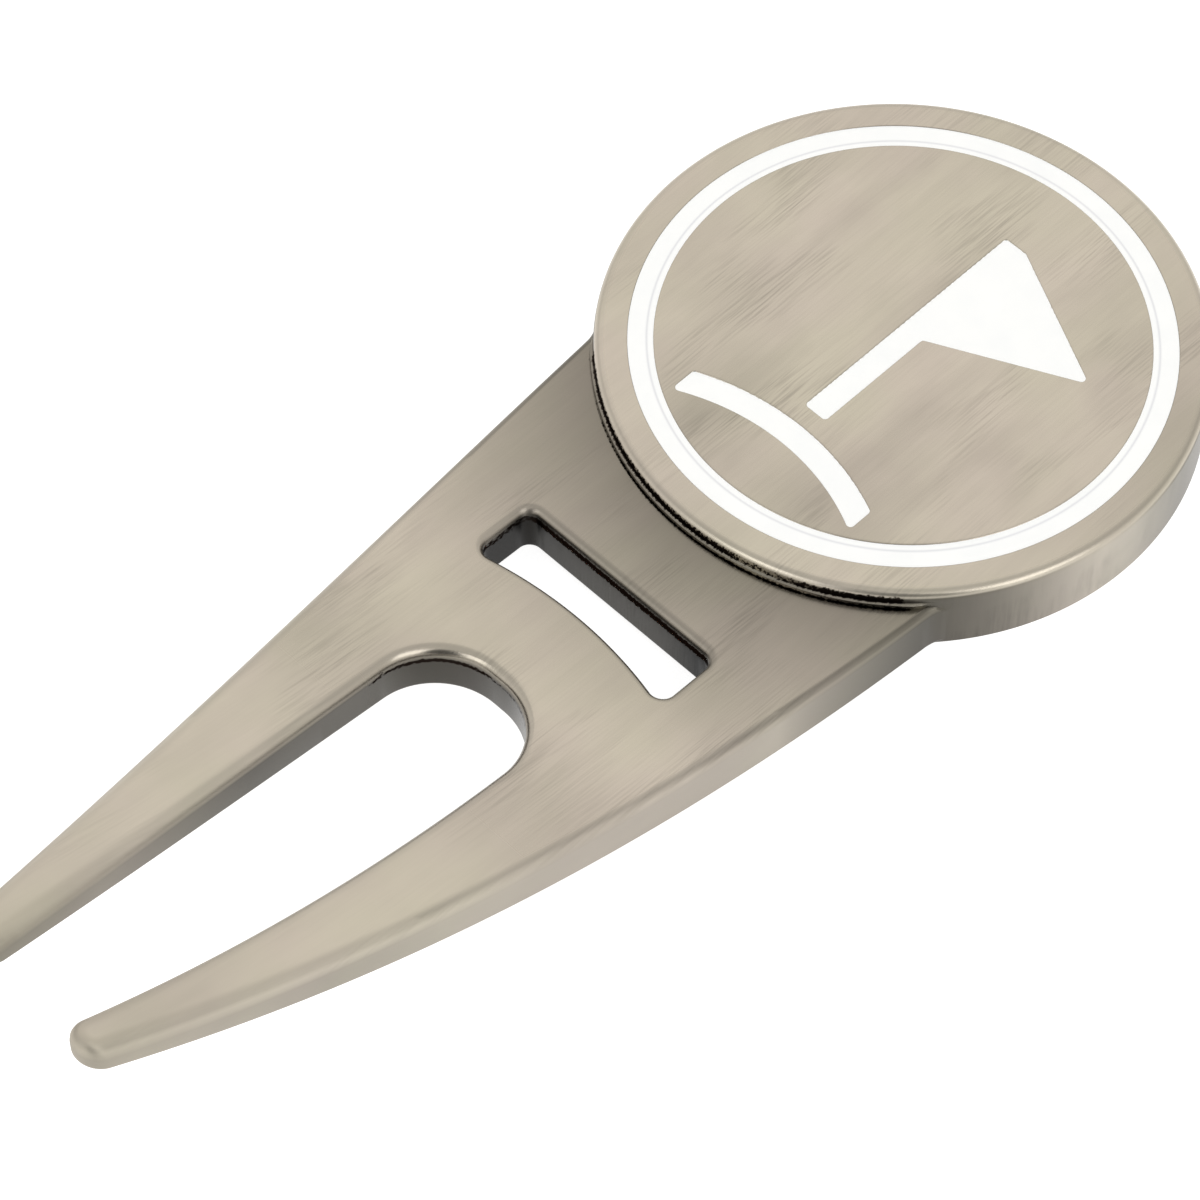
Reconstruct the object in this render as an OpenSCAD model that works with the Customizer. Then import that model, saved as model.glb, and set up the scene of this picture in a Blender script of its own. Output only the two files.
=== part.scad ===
// Divot repair tool with a magnetic ball marker.
// The tool lies on its flat underside: +X points from the prongs to the head, +Z up.
// The origin is the centre of the head on that underside. Millimetres.

/* [Head] */
// Diameter of the round head
head_d = 28.2; // [27.6:0.1:30]
// Height of the head above its flat underside
head_h = 3.75; // [3.6:0.05:4.5]
// Step from the head's top down to the fork plate
step_h = 0.85; // [0.6:0.05:1.2]
// Radius that blends the fork's sides into the head
blend_r = 2; // [1:0.1:3]
// Diameter of the hole that a tee's point goes through to push the marker out
push_hole_d = 3.6; // [3:0.1:4]
// Distance from the head's centre to the push hole
push_hole_x = 8.5; // [8:0.1:9.5]

/* [Fork] */
// Distance from the head's centre to the prong tips
tip_x = 52.7; // [50:0.1:56]
// Width of the fork where it leaves the head
root_w = 20.7; // [20:0.1:22]
// Width across both prongs at their tips
tip_w = 8.6; // [8.2:0.1:9]
// Radius of the fork's long outer edges
side_r = 290; // [280:10:450]
// Thickness of a prong at its tip
tip_t = 1.65; // [1:0.05:1.8]
// Height that the prongs rise towards their tips
tip_rise = 6.7; // [3:0.1:8]
// Distance from the head's centre to where the rise begins
bend_x = 8.8; // [6:0.1:12]

/* [Gap between the prongs] */
// Distance from the head's centre to the closed end of the gap
gap_end_x = 25.75; // [25:0.05:28]
// Greatest width of the gap
gap_w = 7.4; // [7.2:0.1:8]
// Corner radius at the closed end
gap_corner_r = 3.4; // [2:0.1:3.5]
// Radius of the gap's long edges
gap_r = 190; // [180:10:260]

/* [Slot] */
// Distance from the head's centre to the slot's straight edge
slot_x = 18.2; // [17.5:0.05:19]
// Width of the slot in the middle
slot_w = 2.6; // [2:0.1:3]
// Length of the slot across the plate
slot_len = 11.5; // [10:0.1:12]
// Radius of the slot's curved edge
slot_r = 21; // [18:0.5:30]
// Corner radius of the slot
slot_corner_r = 0.6; // [0.5:0.05:0.9]

/* [Ball marker] */
// Diameter of the ball marker
marker_d = 25; // [24:0.1:25]
// Thickness of the ball marker
marker_t = 1.5; // [1.3:0.05:1.6]
// Width of the white ring round the marker's edge
ring_w = 1.13; // [0.8:0.01:1.4]
// Depth of the enamel in the marker's face
enamel_t = 0.3; // [0.2:0.05:0.5]
// Radial gap between the marker and its seat
seat_gap = 0.05; // [0.03:0.01:0.08]

/* [Magnet] */
// Diameter of the magnet
magnet_d = 10; // [8:0.5:10]
// Thickness of the magnet
magnet_t = 1; // [0.8:0.05:1]
// Thickness of the adhesive under the magnet
adhesive_t = 0.1; // [0.05:0.01:0.12]

/* [Flag mark] */
// Distance from the marker's centre to the top of the flagpole
pole_top_x = 7.6; // [7:0.1:8]
// Length of the flagpole
pole_len = 13.4; // [10:0.1:14]
// Width of the enamel lines
line_w = 1.25; // [0.8:0.05:1.6]
// Height of the pennant along the pole
pennant_h = 7; // [5:0.1:8]
// Reach of the pennant from the pole
pennant_reach = 7; // [5:0.1:7]
// Distance from the marker's centre to the top of the green's curved line
green_x = 6.8; // [6.6:0.1:7.4]
// Radius of the green's curved line
green_r = 13; // [10:0.5:20]
// Length of the green's line across the marker
green_len = 11; // [8:0.1:12]

/* [Hidden] */

$fn = 120;
eps = 0.01;
long_arc_fn = 1440;
profile_steps = 36;

head_r = head_d / 2;
marker_r = marker_d / 2;
ring_in_r = marker_r - ring_w;
plate_t = head_h - step_h;
overcut = 2;

// Heights of the marker's seat, from the top of the head down
seat_drop = 0.02;
seat_z = head_h - marker_t - seat_drop;
magnet_gap = 0.1;
magnet_z = seat_z - magnet_gap - magnet_t;
pocket_z = magnet_z - adhesive_t;
enamel_drop = 0.04;
enamel_z = head_h - enamel_t;

// Rise of the plate and how it thins, at x millimetres from the head's centre
bend_power = 2.4;
function bend(x) = max(0, (x - bend_x) / (tip_x - bend_x));
function top_z(x) = plate_t + tip_rise * pow(bend(x), bend_power);
function thickness(x) = plate_t - (plate_t - tip_t) * pow(bend(x), 2);

// Centre of a circle of radius r through a and b, on the right of the way from a to b
function arc_centre(a, b, r) =
    let (d = b - a, m = (a + b) / 2, h = sqrt(r * r - d * d / 4))
    m + [d[1], -d[0]] / norm(d) * h;

// Centre of the circle of radius r that touches two circles from outside, on the left of the
// way from c1 to c2
function touching_centre(c1, r1, c2, r2, r) =
    let (a = r1 + r, b = r2 + r, d = norm(c2 - c1), u = (c2 - c1) / d,
         k = (a * a - b * b + d * d) / (2 * d), h = sqrt(a * a - k * k))
    c1 + u * k + [-u[1], u[0]] * h;

root_edge = [-head_r, root_w / 2];
tip_edge = [-tip_x, tip_w / 2];
side_c = arc_centre(tip_edge, root_edge, side_r);
blend_c = touching_centre(side_c, side_r, [0, 0], head_r, blend_r);
gap_mid_x = gap_end_x + gap_corner_r;

// Half-widths of the fork and of its gap, at x millimetres from the head's centre
function side_y(x) = side_c[1] + sqrt(pow(side_r, 2) - pow(-x - side_c[0], 2));
function gap_y(x) = gap_w / 2 - gap_r + sqrt(pow(gap_r, 2) - pow(x - gap_mid_x, 2));

module both_sides() {
    children();
    mirror([0, 1]) children();
}

// Top view of the fork with its prongs square-ended
module fork_outline() {
    intersection() {
        translate(side_c) circle(r = side_r, $fn = long_arc_fn);
        translate([side_c[0], -side_c[1]]) circle(r = side_r, $fn = long_arc_fn);
        translate([-tip_x, -root_w]) square([tip_x, 2 * root_w]);
    }
}

// Top view of the gap: rounded closed end, then two long arcs out to the tips
module gap_outline() {
    corner_y = gap_w / 2 - gap_corner_r;
    both_sides() translate([-gap_mid_x, corner_y]) circle(r = gap_corner_r);
    translate([-gap_mid_x, -corner_y]) square([gap_corner_r, 2 * corner_y]);
    intersection() {
        translate([-gap_mid_x, gap_w / 2 - gap_r]) circle(r = gap_r, $fn = long_arc_fn);
        translate([-gap_mid_x, gap_r - gap_w / 2]) circle(r = gap_r, $fn = long_arc_fn);
        translate([-tip_x - overcut, -gap_w])
            square([tip_x + overcut - gap_mid_x, 2 * gap_w]);
    }
}

// Top view of the slot: straight edge towards the head, curved edge towards the prongs
module slot_outline() {
    end_y = slot_len / 2 - slot_corner_r;
    near_x = -slot_x - slot_corner_r;
    far_x = -slot_x - slot_w - slot_r + sqrt(slot_r * slot_r - end_y * end_y) + slot_corner_r;
    both_sides() {
        translate([near_x, end_y]) circle(r = slot_corner_r);
        translate([far_x, end_y]) circle(r = slot_corner_r);
        translate([far_x, end_y - eps]) square([near_x - far_x, slot_corner_r + eps]);
    }
    difference() {
        translate([far_x - slot_corner_r, -end_y])
            square([-slot_x - far_x + slot_corner_r, 2 * end_y]);
        translate([-slot_x - slot_w - slot_r, 0]) circle(r = slot_r, $fn = long_arc_fn);
    }
}

// Rounded end of one prong, seen from the top
module prong_end() {
    end_w = side_y(tip_x) - gap_y(tip_x);
    round_x = tip_x - end_w / 2;
    difference() {
        translate([-tip_x - eps, gap_y(tip_x) - end_w]) square([end_w / 2 + eps, 3 * end_w]);
        translate([-round_x, (side_y(round_x) + gap_y(round_x)) / 2])
            circle(r = (side_y(round_x) - gap_y(round_x)) / 2);
    }
}

// Concave corner between the fork's side and the head, seen from the top
module side_blend() {
    on_side = side_c + (blend_c - side_c) * side_r / (side_r + blend_r);
    on_head = blend_c * head_r / (head_r + blend_r);
    difference() {
        polygon([on_head, blend_c, on_side, [-head_r / 2, root_w / 3]]);
        translate(blend_c) circle(r = blend_r);
    }
}

// Side view of the plate: it rises and thins towards the tips
module fork_profile() {
    xs = [for (i = [0:profile_steps]) bend_x + (tip_x - bend_x) * i / profile_steps];
    polygon(concat([[0, plate_t]],
                   [for (x = xs) [-x, top_z(x)]],
                   [for (i = [profile_steps:-1:0]) [-xs[i], top_z(xs[i]) - thickness(xs[i])]],
                   [[0, 0]]));
}

module fork_plate() {
    intersection() {
        linear_extrude(height = tip_rise + head_h) difference() {
            union() {
                fork_outline();
                both_sides() side_blend();
            }
            gap_outline();
            slot_outline();
            both_sides() prong_end();
        }
        rotate([90, 0, 0]) linear_extrude(height = 2 * root_w, center = true) fork_profile();
    }
}

module fork_body() {
    color("silver") difference() {
        union() {
            cylinder(d = head_d, h = head_h);
            fork_plate();
        }
        translate([0, 0, seat_z]) cylinder(r = marker_r + seat_gap, h = head_h);
        translate([0, 0, pocket_z]) cylinder(r = magnet_d / 2 + seat_gap, h = head_h);
        translate([push_hole_x, 0, -eps]) cylinder(d = push_hole_d, h = head_h);
    }
}

module magnet_adhesive() {
    color("goldenrod") translate([0, 0, pocket_z]) cylinder(d = magnet_d, h = adhesive_t);
}

module marker_magnet() {
    color("gainsboro") translate([0, 0, magnet_z]) cylinder(d = magnet_d, h = magnet_t);
}

// Flagpole and pennant as one enamel cell, seen from the top
module flag_outline() {
    bottom_x = pole_top_x - pole_len;
    polygon([[bottom_x, line_w / 2], [pole_top_x, line_w / 2], [pole_top_x, -line_w / 2],
             [pole_top_x - pennant_h / 2, -line_w / 2 - pennant_reach],
             [pole_top_x - pennant_h, -line_w / 2], [bottom_x, -line_w / 2]]);
}

// Curved line of the green under the flagpole, seen from the top
module green_outline() {
    intersection() {
        difference() {
            translate([-green_x - green_r, 0]) circle(r = green_r);
            translate([-green_x - green_r, 0]) circle(r = green_r - line_w);
        }
        translate([-marker_r, -green_len / 2]) square([marker_r, green_len]);
    }
}

module ball_marker() {
    color("silver") difference() {
        translate([0, 0, seat_z + seat_drop]) cylinder(r = marker_r, h = marker_t);
        translate([0, 0, enamel_z]) {
            difference() {
                cylinder(r = marker_r + 1, h = head_h);
                translate([0, 0, -eps]) cylinder(r = ring_in_r, h = head_h + 1);
            }
            linear_extrude(height = head_h) flag_outline();
            linear_extrude(height = head_h) green_outline();
        }
    }
}

module enamel_ring() {
    color("white") translate([0, 0, enamel_z]) difference() {
        cylinder(r = marker_r, h = enamel_t - enamel_drop);
        translate([0, 0, -eps]) cylinder(r = ring_in_r, h = enamel_t);
    }
}

module enamel_flag() {
    color("white") translate([0, 0, enamel_z])
        linear_extrude(height = enamel_t - enamel_drop) flag_outline();
}

module enamel_green() {
    color("white") translate([0, 0, enamel_z])
        linear_extrude(height = enamel_t - enamel_drop) green_outline();
}

fork_body();
marker_magnet();
magnet_adhesive();
ball_marker();
enamel_ring();
enamel_flag();
enamel_green();
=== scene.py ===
"""Looks for the divot repair tool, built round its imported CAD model.

The frame is the CAD one: +X runs from the prongs to the head, +Z is up, and the origin is under the
head's centre. Shapes are worked out in millimetres and become metres when a mesh is made.
"""

import math
from types import SimpleNamespace

import bpy
import numpy as np
from mathutils import Matrix, Vector
from mathutils.geometry import delaunay_2d_cdt


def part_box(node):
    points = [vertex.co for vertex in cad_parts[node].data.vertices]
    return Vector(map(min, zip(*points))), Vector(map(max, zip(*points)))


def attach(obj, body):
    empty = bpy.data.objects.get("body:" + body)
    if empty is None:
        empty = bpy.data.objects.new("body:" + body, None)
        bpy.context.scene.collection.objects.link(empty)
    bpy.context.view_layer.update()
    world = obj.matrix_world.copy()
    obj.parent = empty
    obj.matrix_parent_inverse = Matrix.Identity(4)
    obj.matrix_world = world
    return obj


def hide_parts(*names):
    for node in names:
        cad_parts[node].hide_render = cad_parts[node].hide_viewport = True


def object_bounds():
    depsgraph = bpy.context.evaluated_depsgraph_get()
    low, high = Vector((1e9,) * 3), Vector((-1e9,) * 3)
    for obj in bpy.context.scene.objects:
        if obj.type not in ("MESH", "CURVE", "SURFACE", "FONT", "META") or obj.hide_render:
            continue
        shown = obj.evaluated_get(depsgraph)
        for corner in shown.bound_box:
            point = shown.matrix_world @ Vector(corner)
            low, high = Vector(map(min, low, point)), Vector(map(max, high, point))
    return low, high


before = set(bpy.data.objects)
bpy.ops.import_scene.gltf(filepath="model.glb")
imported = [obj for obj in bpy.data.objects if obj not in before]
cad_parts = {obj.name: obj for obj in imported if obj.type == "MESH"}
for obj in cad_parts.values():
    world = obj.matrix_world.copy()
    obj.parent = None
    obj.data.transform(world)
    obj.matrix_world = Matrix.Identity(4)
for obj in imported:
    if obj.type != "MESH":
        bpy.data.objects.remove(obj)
cad_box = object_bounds()

MM = 0.001


def low_mm(node):
    return np.array(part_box(node)[0]) / MM


def high_mm(node):
    return np.array(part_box(node)[1]) / MM


# ---------------------------------------- sizes from the CAD model, in millimetres

HEAD_R = high_mm("fork_body")[0]
TIP_X = -low_mm("fork_body")[0]
HEAD_TOP = high_mm("ball_marker")[2]
MARKER_BOTTOM = low_mm("ball_marker")[2]
MARKER_R = high_mm("ball_marker")[0]
ENAMEL_BOTTOM = low_mm("enamel_flag")[2]
MAGNET_R = high_mm("marker_magnet")[0]
ADHESIVE_BOTTOM = low_mm("magnet_adhesive")[2]
POLE_TOP_X = high_mm("enamel_flag")[0]
POLE_BOTTOM_X = low_mm("enamel_flag")[0]
PENNANT_TIP_Y = -low_mm("enamel_flag")[1]
LINE_HALF = high_mm("enamel_flag")[1]
GREEN_TOP_X = -high_mm("enamel_green")[0]
GREEN_HALF_LEN = high_mm("enamel_green")[1]

# ---------------------------------------- the fork's own values, as in the CAD source

STEP_H = 0.85
BLEND_R = 2
ROOT_W = 20.7
TIP_W = 8.6
SIDE_R = 290
TIP_T = 1.65
TIP_RISE = 6.7
BEND_X = 8.8
BEND_POWER = 2.4
GAP_END_X = 25.75
GAP_W = 7.4
GAP_CORNER_R = 3.4
GAP_R = 190
SLOT_X = 18.2
SLOT_W = 2.6
SLOT_LEN = 11.5
SLOT_R = 21
SLOT_CORNER_R = 0.6
SEAT_GAP = 0.05
SEAT_DROP = 0.02
PUSH_HOLE_X = 8.5
PUSH_HOLE_R = 1.8
RING_W = 1.13
GREEN_R = 13
PENNANT_H = 7

PLATE_T = HEAD_TOP - STEP_H
SEAT_R = MARKER_R + SEAT_GAP
SEAT_Z = MARKER_BOTTOM - SEAT_DROP
RING_IN_R = MARKER_R - RING_W

# ---------------------------------------- the plate's end, hidden inside the head

HIDDEN_R = HEAD_R - 1.4
HIDDEN_CORNER_R = HEAD_R - 0.2
HIDDEN_TURN = math.radians(4)
HIDDEN_END = 0.06
BLEND_SUNK = 0.006

# ---------------------------------------- edges that the finish has rounded, in millimetres
# ROLL makes the edges that face the tips larger, and HOLD is a flat strip that keeps shading even.

HEAD_EDGE = 0.4
HEAD_BOTTOM_EDGE = 0.06
PLATE_EDGE = 0.34
TIP_EDGE = 0.85
SLOT_EDGE = 0.28
BOTTOM_EDGE = 0.3
SEAT_MOUTH = 0.03
CELL_EDGE = 0.05
CELL_CORNER_R = 0.2
MARKER_BOTTOM_EDGE = 0.2
ROLL = 0.25
HOLD = 0.1

# ---------------------------------------- the fine ledge at the foot of the head's wall
# The profile's pairs are how far down from the ledge's top and how far in from its face.

LEDGE_W = 0.16
LEDGE_H = 0.3
LEDGE_CAP = 0.01
LEDGE_ANGLE = 44
LEDGE_FADE = 5
LEDGE_PROFILE = ((0.8, 0), (0.08, 0), (0.03, 0.02), (0, 0.07))
FOOT_R = HEAD_R + LEDGE_W
JUNCTION = (-10.6, 10.9)

# ---------------------------------------- the enamel's surface

ENAMEL_SINK = 0.06
ENAMEL_RIM = 0.02
ENAMEL_CLIMB_W = 0.14
ENAMEL_GRIP = 0.03
RING_PLAY = 0.008
RING_LINE = 0.33
RING_LINE_W = 0.05

# ---------------------------------------- how near a point must be to count as on a surface

SKIN = 0.05
STEP_SKIN = 0.03
HAIR = 0.02
SCRAPE = 0.01
SOLE_SKIN = 0.005
CLEAR = 0.1
GAP_TIP_X = 1.3 - TIP_X

# ---------------------------------------- brushed metal
# FROM_TO is the range of a noise that takes effect, SHARE is how strong its effect is, and SHADE is what
# is left of the colour there. BUMP alone is in metres, and the other bumps are shares of it.

NICKEL = (0.505, 0.46, 0.39)
ROSY = (1, 0.985, 1)
GREENISH = (0.985, 1, 0.97)
CLOUDS_FROM_TO = (0.35, 0.65)
LINES_FROM_TO = (0.42, 0.7)
CLUSTERS_FROM_TO = (0.5, 0.7)
CLUSTERS_SHARE = (0.05, 0.42)
SCRATCH_SHADE = 0.4
BANDS_FROM_TO = (0.35, 0.7)
BANDS_SHARE = 0.07
SMUDGES_FROM_TO = (0.45, 0.7)
SMUDGES_SHARE = 0.16
SMUDGE_SHADE = 0.45
METAL_ROUGH = 0.22
SATIN_ROUGH = 0.55
BUMP = 0.00002
BANDS_BUMP = 0.6
GRAIN_BUMP = 0.2
POLISHED_BUMP = 0.02
ANISOTROPY = 0.55
QUARTER_TURN = 0.25
MARKER_TONE = 0.97
MARKER_SMUDGE = 1.7
MARKER_GRAIN = 1.2

# ---------------------------------------- enamel, magnet and adhesive (its bump is in metres)

ENAMEL = (0.93, 0.94, 0.94)
ENAMEL_CLOUD = (0.9, 0.915, 0.92)
ENAMEL_LINE = (0.72, 0.73, 0.76)
MAGNET_PLATE = (0.72, 0.71, 0.69)
MAGNET_SCUFF = (0.5, 0.49, 0.47)
AMBER = (0.55, 0.34, 0.1)
AMBER_DARK = (0.33, 0.19, 0.05)
ADHESIVE_BUMP = 0.00005

# ---------------------------------------- black: oxide, painted shade and painted reflection
# GAP_OXIDE_AND_REFLECTION and SLOT_OXIDE are two depths below the rounded edge. Their SHAPE is how far
# above it the black starts, its least strength, and the way that the blackest wall faces. The slot's
# black is oxide on its burred edge; the gap's is blackest on walls that face the camera's side, so it is
# partly a painted reflection. The black on the head's step and ledge is partly oxide and partly painted
# shade and reflection, and round the foot it is painted shade in the crease. STEP_LIGHTER_PLACE and
# FOOT_LIGHTER_PLACE are an angle round the head and a reach, in degrees.

# Black for oxide and for painted shade and painted reflection.
BLACK_OXIDE_AND_SHADE = (0.016, 0.012, 0.01)
BLACK_GLINT = (0.4, 0.4, 0.4)
BLACK_FROM_TO = (0.33, 0.6)
CRUMBS = 0.33
CRUMBS_FROM_TO = (0.35, 0.65)
CRUMBS_START = 0.3
BLACK_FACING = (0.72, 0.2)
BLACK_LINE_W = 0.25
# The gap's black, strongest on walls that face the camera's side, is partly a painted reflection.
GAP_OXIDE_AND_REFLECTION = (0.08, 0.24)
GAP_OXIDE_AND_REFLECTION_SHAPE = (0.15, 0.45, math.radians(225))
SLOT_OXIDE = (0.26, 0.46)
SLOT_OXIDE_SHAPE = (0.1, 0.6, math.pi)
# The black on the head's step and ledge is partly oxide and partly painted shade and reflection; round
# its foot it is painted crease shade.
STEP_OXIDE_AND_SHADE = 0.95
STEP_OXIDE_AND_SHADE_FADE = (0.14, 0.2)
STEP_OXIDE_AND_SHADE_X = JUNCTION[0] + 0.3
STEP_LIGHTER_PLACE = (198, 13)
STEP_LIGHTER = 0.5
LEDGE_OXIDE_AND_SHADE = 0.2
FOOT_PAINTED_SHADE_REACH = 0.12
FOOT_LIGHTER_PLACE = (143, 26)
FOOT_LIGHTER = 0.85

# ---------------------------------------- darker places, most of them painted shade, and satin places, in millimetres
# Each darkening is how much darker a place is, from 0 to 1. Most are painted: shade on the walls, the
# ledge and the rim's right side, a dark reflection on the rounded edges, and WALL_PAINTED_LIGHT, a
# lighter place on the head's wall.
# SIDE_SHADE_BAND and WALL_LIT_PLACE are an x and a reach, and the other places are an x and a y.
# RIM_DULL_AND_SHADE is the rim's own value and what its painted shade adds. Each of GAP_FADES is the x
# where it starts, its length and its change. EDGE_REFLECTION_BAND is a share of the rounded edge.
# TIP_SATIN is for all of a tip and for what lies below its top.

# Darker towards the head's step.
HEAD_NEAR_DARKENING = 0.59
HEAD_NEAR_REACH = 11.5
STAIN_DULL = 0.15
STAIN_X = -30
STAIN_REACH = 4
# Painted shade on the plate's outer walls, for the shadowed floor that they mirror, darkest by the
# corner at the head.
WALL_PAINTED_SHADE = 0.22
FAR_WALL_PAINTED_SHADE = 0.4
FAR_WALL_REACH = 4
CORNER = (-9.9, 11.1)
CORNER_PAINTED_SHADE = 0.62
CORNER_REACH = 8.5
CORNER_FALL = 0.7
SIDE_SHADE_BAND = (-42, 6)
SIDE_PAINTED_SHADE = 0.13
# Painted light: a lighter place on the head's wall.
WALL_LIT_PLACE = (-3, 4)
WALL_PAINTED_LIGHT = 0.17
# Painted shade: the rim's top is darker to the right, where less light falls.
RIM_SHADE_PLACE = (4, -12.8)
RIM_SHADE_REACH = 11
RIM_DULL_AND_SHADE = (0.04, 0.2)
# The marker is darker beside the green.
DISC_DARK_PLACE = (-9.5, 4)
DISC_DARK_REACH = 5
DISC_DARKENING = 0.2
# Painted shade on the slot's and the gap's inner walls, which mirror the shadowed floor.
SLOT_WALL_PAINTED_SHADE = 0.908
SLOT_END_Y = 5
SLOT_END_PAINTED_SHADE = 0.05
SLOT_NEAR_Y = 2.5
SLOT_NEAR_PAINTED_SHADE = 0.02
GAP_WALL_PAINTED_SHADE = 0.885
GAP_FADES = ((-27.5, 3, 0.06), (-37, 9, 0.36))
# Painted reflection: a dark line on the rounded edge of the plate's sides, darker towards the head.
EDGE_PAINTED_REFLECTION = 0.16
EDGE_REFLECTION_BAND = (0.02, 0.35)
EDGE_REFLECTION_CORNER = 0.55
EDGE_REFLECTION_REACH = 16
# Painted shade on the fine ledge under the head's step.
LEDGE_PAINTED_SHADE = 0.5
TIP_SATIN = (0.6, 0.4)
ROLLED_SATIN = 0.5
HEAD_EDGE_SATIN = 0.3

# ---------------------------------------- light and floor
# BAND, PLACE and REACH are in degrees. Distances are in metres.

SKY = (0.86, 0.85, 0.83)
SKY_TOP = (0.83, 0.82, 0.8)
SKY_TOP_BAND = (62, 74)
SKY_LOW = (1.1, 1.085, 1.05)
SKY_LOW_BAND = (20, 42)
SHADE = (0.07, 0.07, 0.075)
SHADE_PLACE = (223, 32)
SHADE_REACH = (18, 26)
WARM = (1, 0.95, 0.88)
BOX_DISTANCE = 0.6
FAR_LIGHT = 0.4
KEY_LIGHT = 1.9
FLOOR_GLOW = 0.85
FLOOR_HALF = 3.0
FLOOR_DROP = 0.00002
FLOOR_ROUGH = 0.9
FLOOR_SPECULAR = 0.1
FLOOR_TONES = ([0.5, 0.5, 0.5, 1], [0.48, 0.48, 0.48, 1])

# ---------------------------------------- the camera, in degrees and millimetres
# CLIP alone is in metres.

CAMERA_AZIMUTH = 225
CAMERA_ELEVATION = 55.86
CAMERA_DISTANCE = 227.25
AIM_LEFT = 13.78
AIM_DOWN = 11.84
LENS = 150
SENSOR = 36
CLIP = (0.01, 20)

# ---------------------------------------- how finely the meshes are made

ARC_STEP = 0.35
ARC_TURN = math.radians(7)
BLEND_STEP = 0.12
TIP_STEP = 0.09
GAP_CORNER_STEP = 0.15
SLOT_CORNER_STEP = 0.08
JOIN_ERROR = 1e-3
TIP_R_LEAST = 0.1
TIP_R_ERROR = 1e-6
CAP_GRID = 0.8
CELL_GRID = 0.16
CAP_APART = 0.4
CAP_CLEAR = 0.55
CAP_CLEAR_MOST = 0.25
CAP_ERROR = 1e-7
FOOT_RINGS = (0.09, 0.24, 0.5)
EDGE_STEPS = 6
FINE_EDGE_STEPS = 3
LATHE_STEPS = 288
PUSH_HOLE_STEPS = 64
RING_STEPS = 33
SHARP_ANGLE = math.radians(32)
NORMAL_WEIGHT = 60


# ---------------------------------------- outlines
# An outline is an array with a row per point: x, y and its outward normal. The solid is on its left.


def arc(centre, radius, start, end, step=ARC_STEP):
    """The points of a circle from angle start to end. Running clockwise, the solid is outside it."""
    turn = abs(end - start)
    count = 1 + math.ceil(max(turn * radius / step, turn / ARC_TURN))
    a = np.linspace(start, end, count)
    side = math.copysign(1, end - start)
    across = np.c_[np.cos(a), np.sin(a)]
    return np.c_[np.asarray(centre) + radius * across, side * across]


def line(a, b, step=ARC_STEP):
    """The points from a to b, with the normal on the right."""
    way = np.subtract(b, a)
    length = np.hypot(*way)
    count = 1 + math.ceil(length / step)
    points = np.asarray(a) + np.outer(np.linspace(0, 1, count), way)
    return np.c_[points, np.tile([way[1] / length, -way[0] / length], (count, 1))]


def joined(*stretches):
    """One outline from stretches that follow on from each other, without doubled points."""
    kept = [stretches[0]]
    for stretch in stretches[1:]:
        touches = np.hypot(*(stretch[0, :2] - kept[-1][-1, :2])) < JOIN_ERROR
        kept.append(stretch[1:] if touches else stretch)
    return np.vstack(kept)


def closed(half):
    """The whole outline from the half that runs on the +Y side, starting and ending on y = 0."""
    other = half[-2:0:-1] * [1, -1, 1, -1]
    return np.vstack([half, other])


def polygon_outline(corners, radius, step=ARC_STEP):
    """An outline through the corners, anticlockwise, each corner rounded with the radius."""
    stretches = []
    corners = [np.array(c, float) for c in corners]
    for before, here, after in zip(corners[-1:] + corners, corners, corners[1:] + corners[:1]):
        come = (here - before) / np.linalg.norm(here - before)
        go = (after - here) / np.linalg.norm(after - here)
        turn = math.atan2(come[0] * go[1] - come[1] * go[0], come @ go)
        cut = radius * math.tan(abs(turn) / 2)
        side = math.copysign(1, turn)
        centre = here - come * cut + side * radius * np.array([-come[1], come[0]])
        start = math.atan2(-side * come[0], side * come[1])
        stretches.append(arc(centre, radius, start, start + turn))
    outline = [stretches[0]]
    for stretch in stretches[1:] + stretches[:1]:
        outline.append(line(outline[-1][-1, :2], stretch[0, :2], step)[1:-1])
        outline.append(stretch)
    return np.vstack(outline[:-1])


def moved_in(outline, depth):
    """The outline's points moved into the solid by depth, which may differ from point to point."""
    return outline[:, :2] - np.reshape(depth, (-1, 1)) * outline[:, 2:]


def inside(points, loop):
    """Which points lie inside the closed loop."""
    x, y = points[:, 0], points[:, 1]
    found = np.zeros(len(points), bool)
    for (x0, y0), (x1, y1) in zip(loop, np.roll(loop, -1, 0)):
        if y0 != y1:
            found ^= ((y0 > y) != (y1 > y)) & (x < x0 + (y - y0) * (x1 - x0) / (y1 - y0))
    return found


def edge_distance(points, loops):
    """How far each point is from the nearest point of the loops."""
    rim = np.vstack(loops)
    return np.array([np.min(np.hypot(rim[:, 0] - x, rim[:, 1] - y)) for x, y in points])


# ---------------------------------------- meshes


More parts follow.
